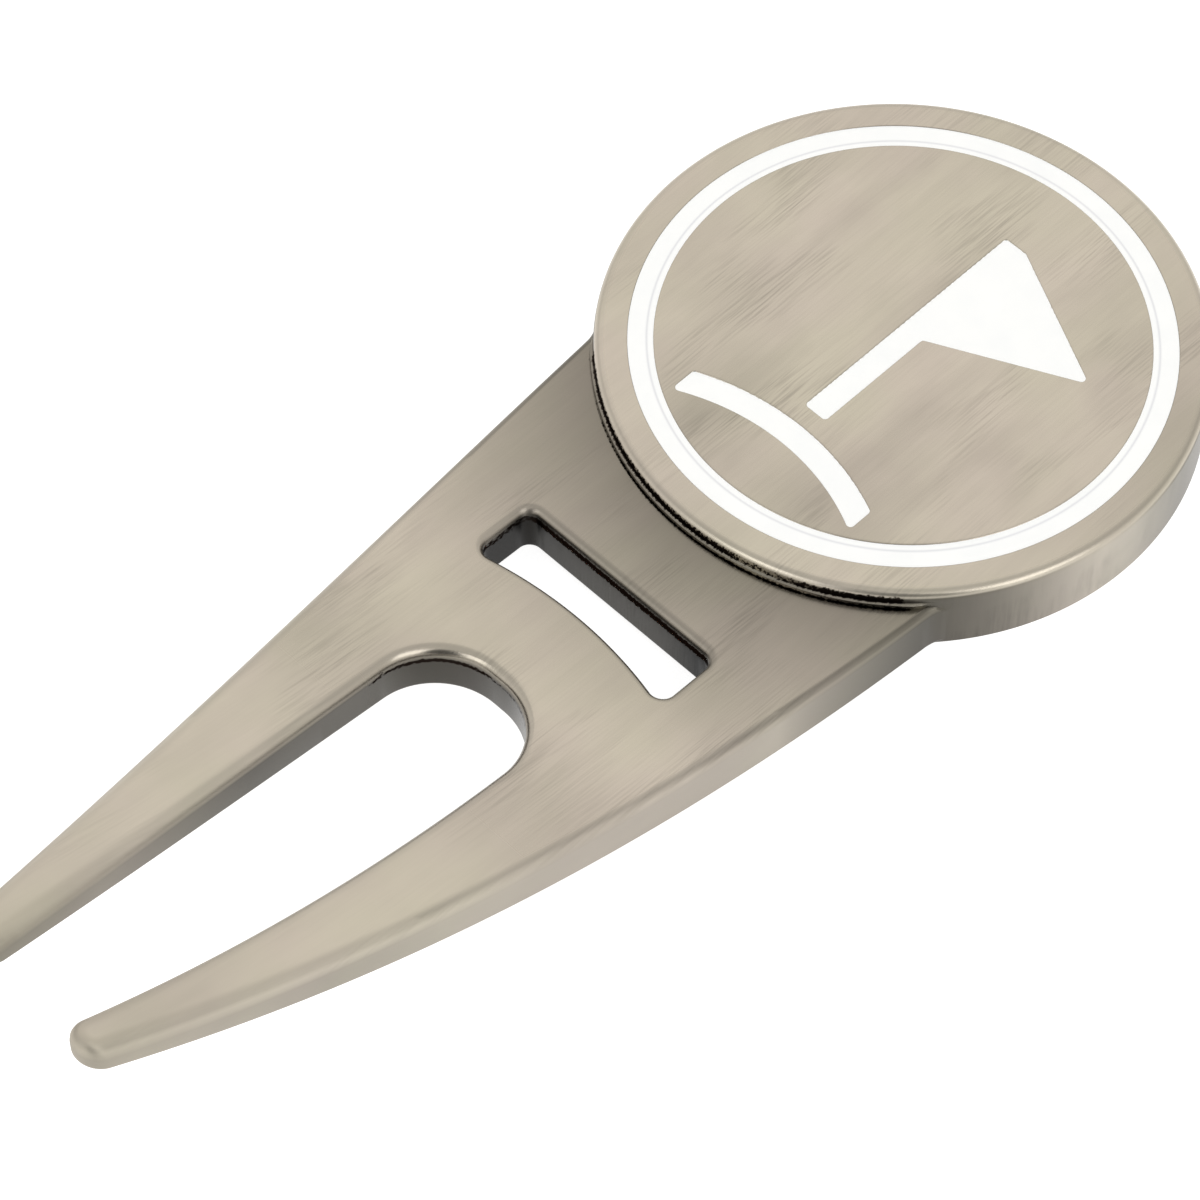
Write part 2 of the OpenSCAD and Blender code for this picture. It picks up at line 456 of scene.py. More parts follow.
class Shell:
    """A closed mesh put together from rings, strips between them and caps over them."""

    def __init__(self):
        self.points = []
        self.faces = []

    def ring(self, xy, z):
        """Adds a loop of points and returns their numbers."""
        start = len(self.points)
        z = np.broadcast_to(z, len(xy))
        self.points.extend(np.c_[xy, z])
        return np.arange(start, start + len(xy))

    def strip(self, upper, lower):
        """Quads from one ring down to the next."""
        for a, b, c, d in zip(upper, np.roll(upper, -1), np.roll(lower, -1), lower):
            self.faces.append((a, d, c, b))

    def strips(self, rings):
        for upper, lower in zip(rings, rings[1:]):
            self.strip(upper, lower)

    def cap(self, rings, height, grid, up=True, more=None):
        """Covers the first ring, with the other rings as holes, over a grid of points and any more
        points, all at height(points, distance)."""
        loops = [np.array([self.points[i][:2] for i in ring]) for ring in rings]
        low, high = loops[0].min(0), loops[0].max(0)
        xs = np.arange(low[0], high[0], grid)
        ys = np.arange(low[1], high[1], grid * math.sqrt(3) / 2)
        field = np.array([(x + (row % 2) * grid / 2, y) for row, y in enumerate(ys) for x in xs])
        if more is not None:
            apart = edge_distance(field, [more]) > grid * CAP_APART
            field = np.vstack([field[apart], more])
        field = field[self.covered(field, loops)]
        distance = edge_distance(field, loops)
        clear = distance > np.minimum(grid * CAP_CLEAR, CAP_CLEAR_MOST)
        field, distance = field[clear], distance[clear]
        numbers = list(np.concatenate(rings)) + list(self.ring(field, height(field, distance)))
        flat = np.vstack(loops + [field])
        edges, start = [], 0
        for loop in loops:
            edges += [(start + i, start + (i + 1) % len(loop)) for i in range(len(loop))]
            start += len(loop)
        done = delaunay_2d_cdt([Vector(p) for p in flat], edges, [], 0, CAP_ERROR)
        made, triangles, sources = done[0], done[2], done[3]
        corners = np.array([[*p] for p in made])
        centres = np.array([corners[list(t)].mean(0) for t in triangles])
        for triangle, kept in zip(triangles, self.covered(centres, loops)):
            if kept:
                face = [numbers[sources[i][0]] for i in triangle]
                self.faces.append(tuple(face if up else face[::-1]))

    @staticmethod
    def covered(points, loops):
        kept = inside(points, loops[0])
        for hole in loops[1:]:
            kept &= ~inside(points, hole)
        return kept

    def made(self, name):
        """The object, in metres."""
        mesh = bpy.data.meshes.new(name)
        mesh.from_pydata([tuple(p * MM) for p in np.array(self.points)], [], self.faces)
        mesh.update()
        obj = bpy.data.objects.new(name, mesh)
        bpy.context.scene.collection.objects.link(obj)
        return obj


def edge_profile(width, height, steps=EDGE_STEPS):
    """(move in, move down) pairs of a rounded edge, from the face over to the wall."""
    turns = np.linspace(0, math.pi / 2, steps + 1)
    return [(width * (1 - math.sin(t)), height * (1 - math.cos(t))) for t in turns]


def lathed(name, profile, swell=None, steps=LATHE_STEPS):
    """A solid turned round Z from (radius, z) points, run with the solid on their left.
    A point's third number, where it has one, is how far swell(angles) pushes it out."""
    shell = Shell()
    angles = np.linspace(0, 2 * math.pi, steps, endpoint=False)
    around = np.c_[np.cos(angles), np.sin(angles)]
    rings = []
    for radius, z, *push in profile:
        if radius == 0:
            rings.append(shell.ring(np.zeros((1, 2)), z))
        else:
            radii = radius + (push[0] * swell(angles) if push else 0 * angles)
            rings.append(shell.ring(around * radii[:, None], z))
    pairs = list(zip(rings, rings[1:]))
    if profile[0][0] > 0:
        pairs.append((rings[-1], rings[0]))
    for low, high in pairs:
        if len(low) == 1:
            shell.faces += [(low[0], b, a) for a, b in zip(high, np.roll(high, -1))]
        elif len(high) == 1:
            shell.faces += [(a, b, high[0]) for a, b in zip(low, np.roll(low, -1))]
        else:
            shell.strip(high, low)
    return shell.made(name)


def boolean(obj, other, operation):
    """Joins other to obj or cuts it from obj, and removes other."""
    modifier = obj.modifiers.new(operation.lower(), "BOOLEAN")
    modifier.operation = operation
    modifier.solver = "EXACT"
    modifier.object = other
    graph = bpy.context.evaluated_depsgraph_get()
    result = bpy.data.meshes.new_from_object(obj.evaluated_get(graph))
    obj.modifiers.clear()
    obj.data = result
    bpy.data.objects.remove(other)
    return obj


def smooth(obj):
    """Smooth shading with the real edges kept sharp."""
    obj.data.shade_smooth()
    obj.data.set_sharp_from_angle(angle=SHARP_ANGLE)
    weighted = obj.modifiers.new("weighted_normals", "WEIGHTED_NORMAL")
    weighted.keep_sharp = True
    weighted.weight = NORMAL_WEIGHT
    return obj


# ---------------------------------------- the fork


def bend(x):
    return np.maximum(0, (-x - BEND_X) / (TIP_X - BEND_X))


def top_z(x):
    return PLATE_T + TIP_RISE * bend(x) ** BEND_POWER


def thickness(x):
    return PLATE_T - (PLATE_T - TIP_T) * bend(x) ** 2


def bottom_z(x):
    return top_z(x) - thickness(x)


def arc_centre(a, b, radius):
    """The centre of a circle through a and b, on the right of the way from a to b."""
    way = np.subtract(b, a)
    length = np.hypot(*way)
    reach = math.sqrt(radius**2 - length**2 / 4)
    return np.add(a, b) / 2 + reach * np.array([way[1], -way[0]]) / length


def touching_centre(c1, r1, c2, r2, radius):
    """The centre of a circle that touches two circles from outside, left of the way from c1 to c2."""
    a, b, d = r1 + radius, r2 + radius, np.linalg.norm(np.subtract(c2, c1))
    u = np.subtract(c2, c1) / d
    along = (a * a - b * b + d * d) / (2 * d)
    return np.asarray(c1) + u * along + math.sqrt(a * a - along**2) * np.array([-u[1], u[0]])


def angle_to(a, b):
    """The angle of the way from a to b, from 0 to a full turn."""
    return math.atan2(b[1] - a[1], b[0] - a[0]) % (2 * math.pi)


def tip_circle(side_centre, gap_centre):
    """The prong's round end: the circle that touches the side, the gap and the line x = -TIP_X."""
    low, high = TIP_R_LEAST, ROOT_W
    while high - low > TIP_R_ERROR:
        radius = (low + high) / 2
        x = radius - TIP_X
        by_side = side_centre[1] + math.sqrt((SIDE_R - radius) ** 2 - (x - side_centre[0]) ** 2)
        by_gap = gap_centre[1] + math.sqrt((GAP_R + radius) ** 2 - (x - gap_centre[0]) ** 2)
        low, high = (radius, high) if by_side > by_gap else (low, radius)
    return np.array([x, by_side]), radius


def fork_outline():
    """Round the fork plate: out of the head, along a side, round the tips and the gap, and back."""
    side_centre = arc_centre((-TIP_X, TIP_W / 2), (-HEAD_R, ROOT_W / 2), SIDE_R)
    blend_centre = touching_centre(side_centre, SIDE_R, (0, 0), HEAD_R - BLEND_SUNK, BLEND_R)
    gap_centre = np.array([-GAP_END_X - GAP_CORNER_R, GAP_W / 2 - GAP_R])
    corner_centre = np.array([-GAP_END_X - GAP_CORNER_R, GAP_W / 2 - GAP_CORNER_R])
    tip_centre, tip_r = tip_circle(side_centre, gap_centre)
    out = angle_to((0, 0), blend_centre)
    hidden = out - HIDDEN_TURN
    radial = np.array([math.cos(hidden), math.sin(hidden)])
    onward = np.array([math.sin(hidden), -math.cos(hidden)])
    blend_from, blend_to = out + math.pi, angle_to(blend_centre, side_centre)
    side_from, side_to = angle_to(side_centre, blend_centre), angle_to(side_centre, tip_centre)
    gap_from = angle_to(gap_centre, tip_centre)
    return closed(joined(
        arc((0, 0), HIDDEN_R, math.pi, hidden + HIDDEN_END),
        np.array([[*(HIDDEN_R * radial), *(onward - radial)]]),
        np.array([[*(HIDDEN_CORNER_R * radial), *(onward + radial)]]),
        arc(blend_centre, BLEND_R, blend_from, blend_to, BLEND_STEP),
        arc(side_centre, SIDE_R, side_from, side_to),
        arc(tip_centre, tip_r, side_to, gap_from + math.pi, TIP_STEP),
        arc(gap_centre, GAP_R, gap_from, math.pi / 2),
        arc(corner_centre, GAP_CORNER_R, math.pi / 2, 0, GAP_CORNER_STEP),
        line((-GAP_END_X, corner_centre[1]), (-GAP_END_X, 0)),
    ))


def slot_outline():
    """Round the slot: its curved edge faces the prongs and its straight edge faces the head."""
    curve_centre = np.array([-SLOT_X - SLOT_W - SLOT_R, 0])
    end_y = SLOT_LEN / 2 - SLOT_CORNER_R
    turn = math.asin(end_y / (SLOT_R + SLOT_CORNER_R))
    prong_corner = curve_centre + (SLOT_R + SLOT_CORNER_R) * np.array([math.cos(turn), math.sin(turn)])
    head_corner = np.array([-SLOT_X - SLOT_CORNER_R, end_y])
    return closed(joined(
        arc(curve_centre, SLOT_R, 0, turn),
        arc(prong_corner, SLOT_CORNER_R, math.pi + turn, math.pi / 2, SLOT_CORNER_STEP),
        line((prong_corner[0], SLOT_LEN / 2), (head_corner[0], SLOT_LEN / 2)),
        arc(head_corner, SLOT_CORNER_R, math.pi / 2, 0, SLOT_CORNER_STEP),
        line((-SLOT_X, end_y), (-SLOT_X, 0)),
    ))


def foot_points():
    """Points on the plate close round the foot of the head, where the black and the painted shade change
    fast.
    """
    angles = np.arange(math.pi / 2, 1.5 * math.pi, ARC_STEP / FOOT_R)
    around = np.c_[np.cos(angles), np.sin(angles)]
    return np.vstack([(FOOT_R + out) * around for out in FOOT_RINGS])


def top_edge(outline, edge):
    """How far the plate's rounded top edge reaches down, at each point of the outline. It is larger
    towards the tips, and larger on the edges that face them."""
    grown = edge + (TIP_EDGE - edge) * bend(outline[:, 0])
    return grown * (1 - ROLL * outline[:, 2] * (1 - bend(outline[:, 0])))


def fork_plate():
    """The plate with its prongs, slot and rounded edges. Its closed end is inside the head."""
    shell = Shell()
    tops, bottoms = [], []
    edges = ((fork_outline(), PLATE_EDGE, GAP_OXIDE_AND_REFLECTION), (slot_outline(), SLOT_EDGE, SLOT_OXIDE))
    for outline, edge, oxide in edges:
        down = top_edge(outline, edge)
        hold = moved_in(outline, down + HOLD)
        rings = [shell.ring(hold, top_z(hold[:, 0]))]
        for share_in, share_down in edge_profile(1, 1):
            xy = moved_in(outline, share_in * down)
            rings.append(shell.ring(xy, top_z(xy[:, 0]) - share_down * down))
        for below in oxide:
            rings.append(shell.ring(outline[:, :2], top_z(outline[:, 0]) - down - below))
        for share_in, share_down in reversed(edge_profile(1, 1)):
            xy = moved_in(outline, share_in * BOTTOM_EDGE)
            rings.append(shell.ring(xy, bottom_z(xy[:, 0]) + share_down * BOTTOM_EDGE))
        shell.strips(rings)
        tops.append(rings[0])
        bottoms.append(rings[-1])
    shell.cap(tops, lambda points, distance: top_z(points[:, 0]), CAP_GRID, more=foot_points())
    shell.cap(bottoms, lambda points, distance: bottom_z(points[:, 0]), CAP_GRID, up=False)
    return shell.made("fork_plate")


def ledge_share(angles):
    """How much the fine second step at the foot of the head's wall shows: only over the plate."""
    turn = np.degrees(np.abs(angles - math.pi))
    share = np.clip((LEDGE_ANGLE + LEDGE_FADE - turn) / LEDGE_FADE, 0, 1)
    return share * share * (3 - 2 * share)


def head():
    """The round head with the marker's seat and the magnet's pocket."""
    ledge_top = PLATE_T + LEDGE_H
    bottom_edge = [(HEAD_R - i, d) for i, d in edge_profile(HEAD_BOTTOM_EDGE, HEAD_BOTTOM_EDGE)]
    ledge = [(HEAD_R, ledge_top - down, LEDGE_W - back) for down, back in LEDGE_PROFILE]
    ledge.append((HEAD_R, ledge_top + LEDGE_CAP))
    rim = [(HEAD_R - i, HEAD_TOP - d) for i, d in reversed(edge_profile(HEAD_EDGE, HEAD_EDGE))]
    flat = [(HEAD_R - HEAD_EDGE - HOLD, HEAD_TOP), (SEAT_R + SEAT_MOUTH + HOLD, HEAD_TOP)]
    mouth_edge = edge_profile(SEAT_MOUTH, SEAT_MOUTH, FINE_EDGE_STEPS)
    mouth = [(SEAT_R + i, HEAD_TOP - d) for i, d in mouth_edge]
    pocket_r = MAGNET_R + SEAT_GAP
    seat = [(SEAT_R, SEAT_Z), (pocket_r, SEAT_Z), (pocket_r, ADHESIVE_BOTTOM), (0, ADHESIVE_BOTTOM)]
    return lathed("head", [(0, 0), *bottom_edge, *ledge, *rim, *flat, *mouth, *seat], ledge_share)


def push_hole_cutter():
    """The hole for a tee's point, with a small countersink on the underside."""
    sink, below = 0.3, 1
    wide = (PUSH_HOLE_R + sink + below, -below)
    profile = [(0, -below), wide, (PUSH_HOLE_R, sink), (PUSH_HOLE_R, HEAD_TOP), (0, HEAD_TOP)]
    cutter = lathed("push_hole", profile, steps=PUSH_HOLE_STEPS)
    cutter.data.transform(Matrix.Translation((PUSH_HOLE_X * MM, 0, 0)))
    return cutter


def fork_body():
    body = boolean(head(), push_hole_cutter(), "DIFFERENCE")
    body = boolean(body, fork_plate(), "UNION")
    body.name = "fork"
    return smooth(body)


# ---------------------------------------- the ball marker and its enamel


def circle(radius, count=LATHE_STEPS):
    """A full circle as an outline, anticlockwise."""
    a = np.linspace(0, 2 * math.pi, count, endpoint=False)
    across = np.c_[np.cos(a), np.sin(a)]
    return np.c_[radius * across, across]


def as_hole(outline):
    """The outline of a hole with that edge: it runs the other way, with its normals into the hole."""
    return outline[::-1] * [1, 1, -1, -1]


def flag_outline():
    """Flagpole and pennant as one enamel cell."""
    pennant = [(POLE_TOP_X - PENNANT_H, -LINE_HALF), (POLE_TOP_X - PENNANT_H / 2, -PENNANT_TIP_Y)]
    pole = [(POLE_TOP_X, -LINE_HALF), (POLE_TOP_X, LINE_HALF), (POLE_BOTTOM_X, LINE_HALF)]
    return polygon_outline([(POLE_BOTTOM_X, -LINE_HALF), *pennant, *pole], CELL_CORNER_R)


def green_outline():
    """The curved line of the green under the flagpole."""
    centre = (-GREEN_TOP_X - GREEN_R, 0)
    inner_r = GREEN_R - 2 * LINE_HALF
    outer_turn = math.asin(GREEN_HALF_LEN / GREEN_R)
    inner_turn = math.asin(GREEN_HALF_LEN / inner_r)
    outer = arc(centre, GREEN_R, -outer_turn, outer_turn)
    inner = arc(centre, inner_r, inner_turn, -inner_turn)
    return polygon_outline(np.vstack([outer, inner])[:, :2], CELL_CORNER_R)


def ball_marker():
    """The steel disc, with a step round its rim and two sunk cells that the enamel fills."""
    shell = Shell()
    face, rim = circle(RING_IN_R), circle(MARKER_R)
    rings = [shell.ring(moved_in(face, CELL_EDGE + HOLD), HEAD_TOP)]
    for i, d in edge_profile(CELL_EDGE, CELL_EDGE, FINE_EDGE_STEPS):
        rings.append(shell.ring(moved_in(face, i), HEAD_TOP - d))
    rings += [shell.ring(face[:, :2], ENAMEL_BOTTOM), shell.ring(rim[:, :2], ENAMEL_BOTTOM)]
    for i, d in reversed(edge_profile(MARKER_BOTTOM_EDGE, MARKER_BOTTOM_EDGE)):
        rings.append(shell.ring(moved_in(rim, i), MARKER_BOTTOM + d))
    shell.strips(rings)
    tops = [rings[0]]
    for outline in (as_hole(flag_outline()), as_hole(green_outline())):
        cell = [shell.ring(moved_in(outline, CELL_EDGE + HOLD), HEAD_TOP)]
        for i, d in edge_profile(CELL_EDGE, CELL_EDGE, FINE_EDGE_STEPS):
            cell.append(shell.ring(moved_in(outline, i), HEAD_TOP - d))
        cell.append(shell.ring(outline[:, :2], ENAMEL_BOTTOM))
        shell.strips(cell)
        shell.cap(cell[-1:], lambda points, distance: ENAMEL_BOTTOM, CAP_GRID)
        tops.append(cell[0])
    shell.cap(tops, lambda points, distance: HEAD_TOP, CAP_GRID)
    shell.cap(rings[-1:], lambda points, distance: MARKER_BOTTOM, CAP_GRID, up=False)
    return smooth(shell.made("marker_disc"))


def enamel_height(points, distance):
    """Enamel climbs a little up its cell's wall as it hardens."""
    return HEAD_TOP - ENAMEL_SINK + (ENAMEL_SINK - ENAMEL_RIM) * np.exp(-distance / ENAMEL_CLIMB_W)


def enamel_cell(name, outline):
    """The enamel in one cell, its sides just inside the metal."""
    shell = Shell()
    sides = moved_in(outline, -ENAMEL_GRIP)
    top, bottom = shell.ring(sides, HEAD_TOP - ENAMEL_RIM), shell.ring(sides, ENAMEL_BOTTOM)
    shell.strip(top, bottom)
    shell.cap([top], enamel_height, CELL_GRID)
    shell.cap([bottom], lambda points, distance: ENAMEL_BOTTOM, CAP_GRID, up=False)
    return smooth(shell.made(name))


def enamel_ring():
    """The white ring, with a hollow top between its two edges and a grey line near the inner one."""
    inner, outer = RING_IN_R - ENAMEL_GRIP, SEAT_R - RING_PLAY
    radii = np.linspace(outer, inner, RING_STEPS)
    hollow = [(r, float(enamel_height(None, min(outer - r, r - inner)))) for r in radii]
    ring = lathed("enamel_ring_fill", [(inner, ENAMEL_BOTTOM), (outer, ENAMEL_BOTTOM), *hollow])
    across = np.array([math.hypot(v.co.x, v.co.y) / MM - inner for v in ring.data.vertices])
    write_values(ring, "shade", np.exp(-(((across - RING_LINE) / RING_LINE_W) ** 2)))
    return smooth(ring)


# ---------------------------------------- materials


def node(tree, kind, inputs=None, **settings):
    """A new node with its settings and inputs. An input that is another node's socket is linked."""
    made = tree.nodes.new(kind)
    for name, value in settings.items():
        setattr(made, name, value)
    for name, value in (inputs or {}).items():
        socket = made.inputs[name]
        if isinstance(value, bpy.types.NodeSocket):
            tree.links.new(value, socket)
        else:
            socket.default_value = value
    return made


def mixed(tree, factor, a, b):
    """The colour a with b mixed in."""
    made = node(tree, "ShaderNodeMix", data_type="RGBA")
    sockets = {s.identifier: s for s in made.inputs}
    for name, value in (("Factor_Float", factor), ("A_Color", a), ("B_Color", b)):
        if isinstance(value, bpy.types.NodeSocket):
            tree.links.new(value, sockets[name])
        else:
            sockets[name].default_value = value
    return next(s for s in made.outputs if s.identifier == "Result_Color")


def ranged(tree, value, low, high, to_low, to_high):
    """The value moved from one range to another, without going past its ends."""
    inputs = {"Value": value, "From Min": low, "From Max": high, "To Min": to_low, "To Max": to_high}
    return node(tree, "ShaderNodeMapRange", inputs).outputs["Result"]


def times(tree, a, b):
    return node(tree, "ShaderNodeMath", {0: a, 1: b}, operation="MULTIPLY").outputs[0]


def plus(tree, a, b):
    return node(tree, "ShaderNodeMath", {0: a, 1: b}, operation="ADD").outputs[0]


def noise(tree, length, width, detail=3, roughness=0.5, shift=0, rise=None):
    """Noise in millimetres of the object's own frame: length along X, width along Y and rise (or
    width) along Z."""
    place = node(tree, "ShaderNodeTexCoord").outputs["Object"]
    scale = (1 / (length * MM), 1 / (width * MM), 1 / ((rise or width) * MM))
    moved = {"Vector": place, "Scale": scale, "Location": (shift, shift, shift)}
    mapped = node(tree, "ShaderNodeMapping", moved)
    inputs = {"Vector": mapped.outputs[0], "Scale": 1, "Detail": detail, "Roughness": roughness}
    return node(tree, "ShaderNodeTexNoise", inputs).outputs["Fac"]


def bumped(tree, height, strength, distance=BUMP):
    """The normal of a surface with that height map."""
    inputs = {"Strength": strength, "Distance": distance, "Height": height}
    return node(tree, "ShaderNodeBump", inputs).outputs[0]


def material(name):
    """A new node material, with its tree and its main shader."""
    made = bpy.data.materials.new(name)
    made.use_nodes = True
    return made, made.node_tree, made.node_tree.nodes["Principled BSDF"]


def linked(tree, shader, **sockets):
    for name, socket in sockets.items():
        tree.links.new(socket, shader.inputs[name.replace("_", " ")])


def attribute(tree, name):
    """The number that write_values stored on the points."""
    return node(tree, "ShaderNodeAttribute", attribute_name=name).outputs["Fac"]


def scaled(colour, factor):
    return [c * factor for c in colour] + [1]


def tinted(colour, tint):
    return [c * t for c, t in zip(colour, tint)] + [1]


def brushed_metal(name, colour, smudge=1.0, grain=1.0):
    """Nickel brushed along X: fine lines, long bands and soft smudges. The attribute
    dull_and_painted_shade darkens it, for duller places and for painted shade, oxide_and_painted_shade
    turns it black, for oxide and for painted shade and reflection, satin roughens it, and polish takes
    the fine lines away."""
    made, tree, shader = material(name)
    dull_and_painted_shade, oxide_and_painted_shade, satin, polish = (attribute(tree, n) for n in ("dull_and_painted_shade", "oxide_and_painted_shade", "satin", "polish"))
    lines = noise(tree, length=2.4, width=0.1, rise=3, detail=2)
    bands = noise(tree, length=24, width=0.9, rise=9, roughness=0.6, shift=7)
    clusters = noise(tree, length=8, width=3.5, detail=2, shift=33)
    smudges = noise(tree, length=9, width=5, shift=21)
    clouds = noise(tree, length=7, width=5, detail=2, shift=50)
    grit = noise(tree, length=0.22, width=0.14)
    cloudy = ranged(tree, clouds, *CLOUDS_FROM_TO, 0.0, 1.0)
    tone = mixed(tree, cloudy, tinted(colour, ROSY), tinted(colour, GREENISH))
    scratches = ranged(tree, lines, *LINES_FROM_TO, 0.0, 1.0)
    scratches = times(tree, scratches, ranged(tree, clusters, *CLUSTERS_FROM_TO, *CLUSTERS_SHARE))
    scratches = times(tree, scratches, ranged(tree, polish, 0.0, 1.0, grain, 0.0))
    tone = mixed(tree, scratches, tone, scaled(colour, SCRATCH_SHADE))
    streaks = ranged(tree, bands, *BANDS_FROM_TO, 0.0, BANDS_SHARE * grain)
    tone = mixed(tree, streaks, tone, scaled(colour, SCRATCH_SHADE))
    smears = ranged(tree, smudges, *SMUDGES_FROM_TO, 0.0, SMUDGES_SHARE * smudge)
    tone = mixed(tree, smears, tone, scaled(colour, SMUDGE_SHADE))
    # Darker where dull_and_painted_shade says: duller places and painted shade.
    tone = mixed(tree, dull_and_painted_shade, tone, [0, 0, 0, 1])
    crumbs = ranged(tree, grit, *CRUMBS_FROM_TO, -CRUMBS, CRUMBS)
    crumbs = times(tree, crumbs, ranged(tree, oxide_and_painted_shade, 0.0, CRUMBS_START, 0.0, 1.0))
    black = ranged(tree, plus(tree, oxide_and_painted_shade, crumbs), *BLACK_FROM_TO, 0.0, 1.0)
    # Black where oxide_and_painted_shade says: oxide, and painted shade and reflection.
    tone = mixed(tree, black, tone, [*BLACK_OXIDE_AND_SHADE, 1])
    glint = mixed(tree, black, [1, 1, 1, 1], [*BLACK_GLINT, 1])
    rough = ranged(tree, satin, 0.0, 1.0, METAL_ROUGH, SATIN_ROUGH)
    height = plus(tree, lines, times(tree, bands, BANDS_BUMP))
    depth = ranged(tree, polish, 0.0, 1.0, GRAIN_BUMP * grain, POLISHED_BUMP)
    along = node(tree, "ShaderNodeCombineXYZ", {"X": 1.0})
    shader.inputs["Metallic"].default_value = 1
    shader.inputs["Anisotropic"].default_value = ANISOTROPY
    shader.inputs["Anisotropic Rotation"].default_value = QUARTER_TURN
    linked(tree, shader, Base_Color=tone, Specular_Tint=glint, Roughness=rough,
           Normal=bumped(tree, height, depth), Tangent=along.outputs[0])
    return made


def white_enamel():
    """Hard glossy enamel, faintly clouded, with a grey line where the attribute shade says."""
    made, tree, shader = material("white_enamel")
    clouds = noise(tree, length=1.8, width=1.8)
    cloudy = ranged(tree, clouds, 0.35, 0.7, 0.0, 1.0)
    tone = mixed(tree, cloudy, [*ENAMEL, 1], [*ENAMEL_CLOUD, 1])
    tone = mixed(tree, attribute(tree, "shade"), tone, [*ENAMEL_LINE, 1])
    rough = ranged(tree, clouds, 0.3, 0.7, 0.1, 0.16)
    ripples = bumped(tree, noise(tree, length=0.5, width=0.5, detail=2), 0.05)
    linked(tree, shader, Base_Color=tone, Roughness=rough, Normal=ripples)
    return made


def plated_magnet():
    """Smooth nickel plate on the magnet, a little scuffed."""
    made, tree, shader = material("magnet_plate")
    scuffs = noise(tree, length=0.9, width=0.25, detail=4, roughness=0.65)
    scuffed = ranged(tree, scuffs, 0.35, 0.75, 0.0, 1.0)
    tone = mixed(tree, scuffed, [*MAGNET_PLATE, 1], [*MAGNET_SCUFF, 1])
    rough = ranged(tree, scuffs, 0.3, 0.7, 0.16, 0.3)
    shader.inputs["Metallic"].default_value = 1
    linked(tree, shader, Base_Color=tone, Roughness=rough, Normal=bumped(tree, scuffs, 0.15))
    return made


def amber_adhesive():
    """The thin bed of cured adhesive under the magnet."""
    made, tree, shader = material("adhesive")
    swirls = noise(tree, length=1.6, width=1.1, detail=4)
    swirled = ranged(tree, swirls, 0.3, 0.7, 0.0, 1.0)
    tone = mixed(tree, swirled, [*AMBER, 1], [*AMBER_DARK, 1])
    rough = ranged(tree, swirls, 0.3, 0.7, 0.3, 0.5)
    lumps = bumped(tree, swirls, 0.3, ADHESIVE_BUMP)
    linked(tree, shader, Base_Color=tone, Roughness=rough, Normal=lumps)
    return made


def write_values(obj, name, values):
    """Stores a number on each of the object's points, for a material to read."""
    stored = obj.data.attributes.new(name, "FLOAT", "POINT")
    stored.data.foreach_set("value", values.astype(np.float32))


def put_on(obj, made):
    """The object's only material."""
    obj.data.materials.clear()
    obj.data.materials.append(made)


def near(distance, reach):
    """1 at no distance, falling in a straight line to 0 at reach."""
    return np.clip(1 - distance / reach, 0, 1)


def fork_places(points):
    """Where each point of the fork is: its distance from the head's wall and from the plate's edges (its
    sides, the gap and the slot), its drop below the plate's top, and whether it is on the plate or just
    beyond the head's step."""
    x, y, z = points.T
    fork, slot = fork_outline(), slot_outline()
    is_gap = (np.abs(fork[:, 1]) < GAP_W / 2 + SKIN) & (fork[:, 0] < -HEAD_R) & (fork[:, 0] > GAP_TIP_X)
    from_head = np.hypot(x, y) - HEAD_R
    drop = top_z(x) - z
    return SimpleNamespace(
        points=points, x=x, y=y, z=z, fork=fork, slot=slot, from_head=from_head, drop=drop,
        from_side=edge_distance(points[:, :2], [fork[~is_gap, :2]]),
        from_gap=edge_distance(points[:, :2], [fork[is_gap, :2]]),
        from_slot=edge_distance(points[:, :2], [slot[:, :2]]),
        on_plate=(x < 0) & (from_head > SKIN) & (drop > -HAIR),
        beyond_step=(from_head >= STEP_SKIN) & (from_head < LEDGE_W + HAIR),
    )


def painted_wall_shades(at):
    """Painted shade: how much darker the outer walls, the gap's walls and the slot's walls are, for the
    shadowed floor and dark hollows that they mirror.
    """
    from_corner = np.hypot(at.x - CORNER[0], np.abs(at.y) - CORNER[1])
    side = WALL_PAINTED_SHADE + CORNER_PAINTED_SHADE * near(from_corner, CORNER_REACH) ** CORNER_FALL
    side += SIDE_PAINTED_SHADE * near(np.abs(at.x - SIDE_SHADE_BAND[0]), SIDE_SHADE_BAND[1])
    side += FAR_WALL_PAINTED_SHADE * np.clip(at.x / FAR_WALL_REACH, 0, 1)
    gap = GAP_WALL_PAINTED_SHADE
    for start, reach, change in GAP_FADES:
        gap = gap - change * np.clip((start - at.x) / reach, 0, 1)
    slot = SLOT_WALL_PAINTED_SHADE + SLOT_END_PAINTED_SHADE * (at.y / SLOT_END_Y) ** 2
    slot += SLOT_NEAR_PAINTED_SHADE * np.clip(-at.y - SLOT_NEAR_Y, 0, SLOT_NEAR_Y)
    return side, gap, slot


